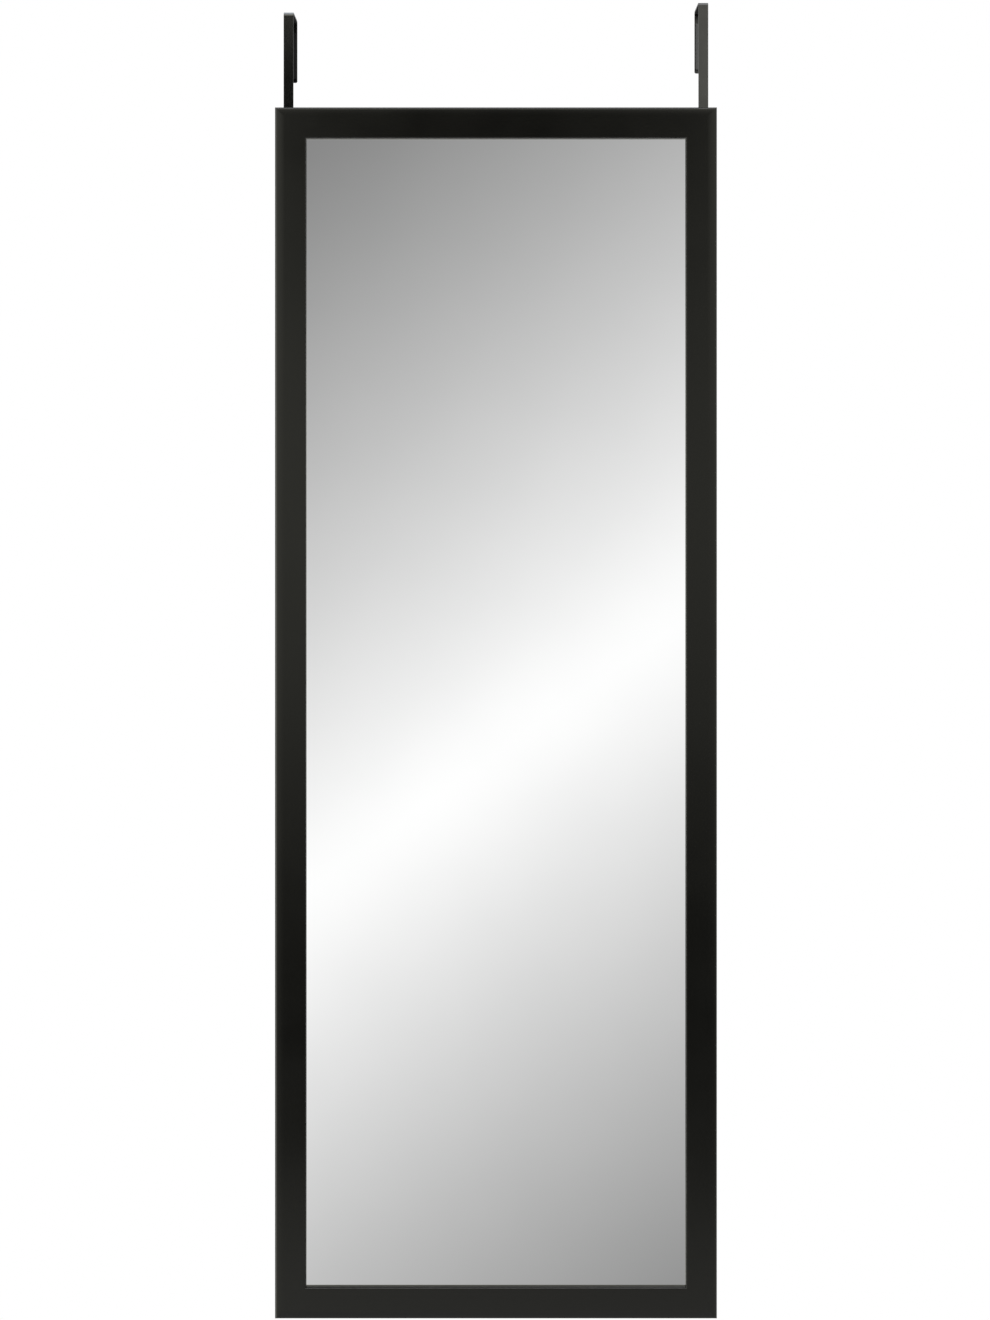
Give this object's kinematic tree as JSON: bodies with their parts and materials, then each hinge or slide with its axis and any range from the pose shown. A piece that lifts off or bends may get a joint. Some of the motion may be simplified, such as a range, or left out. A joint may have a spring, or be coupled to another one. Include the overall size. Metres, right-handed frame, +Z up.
{
  "type": "over the door mirror",
  "caption": "Tall rectangular mirror in a slim mitred black frame, hung over a door's top edge by flat steel strap hooks that slide up and down behind the frame.",
  "frame": {"origin": "mid width of the mirror, on the door's front face that the bumpers touch, level with the door's top edge when both hooks stand at the middle of their travel", "axes": "+Z up along the mirror's height; +Y from the mirror's face towards the door and the hooks' rear legs; +X to the viewer's right along its width"},
  "size_m": [0.4066, 0.0616, 1.214],
  "materials": {
    "moulding": "satin black foil on moulded polystyrene",
    "mirror": "silvered float glass",
    "foam": "white closed-cell foam",
    "board": "hardboard, smooth side in and mesh side out",
    "bright_steel": "bright rolled steel",
    "strap": "satin black powder coat",
    "pad": "black foam",
    "fastener": "black zinc",
    "bumper": "soft black rubber"
  },
  "bodies": {
    "frame": {"left_stile": "moulding", "right_stile": "moulding", "top_rail": "moulding", "bottom_rail": "moulding", "mirror_glass": "mirror", "foam_sheet": "foam", "backing_board": "board", "retaining_points": "bright_steel", "corner_nails": "bright_steel", "left_screws": "fastener", "right_screws": "fastener", "left_washers": "fastener", "right_washers": "fastener", "upper_left_bumper": "bumper", "upper_right_bumper": "bumper", "lower_left_bumper": "bumper", "lower_right_bumper": "bumper"},
    "left_hanger": {"left_hook": "strap", "left_top_pad": "pad", "left_leg_pad": "pad"},
    "right_hanger": {"right_hook": "strap", "right_top_pad": "pad", "right_leg_pad": "pad"}
  },
  "joints": [
    {"name": "left_hook_slide", "type": "slide", "parent": "frame", "child": "left_hanger", "axis": [0, 0, 1], "range_m": [-0.00755, 0.01645]},
    {"name": "right_hook_slide", "type": "slide", "parent": "frame", "child": "right_hanger", "axis": [0, 0, 1], "range_m": [-0.01645, 0.00755]}
  ]
}
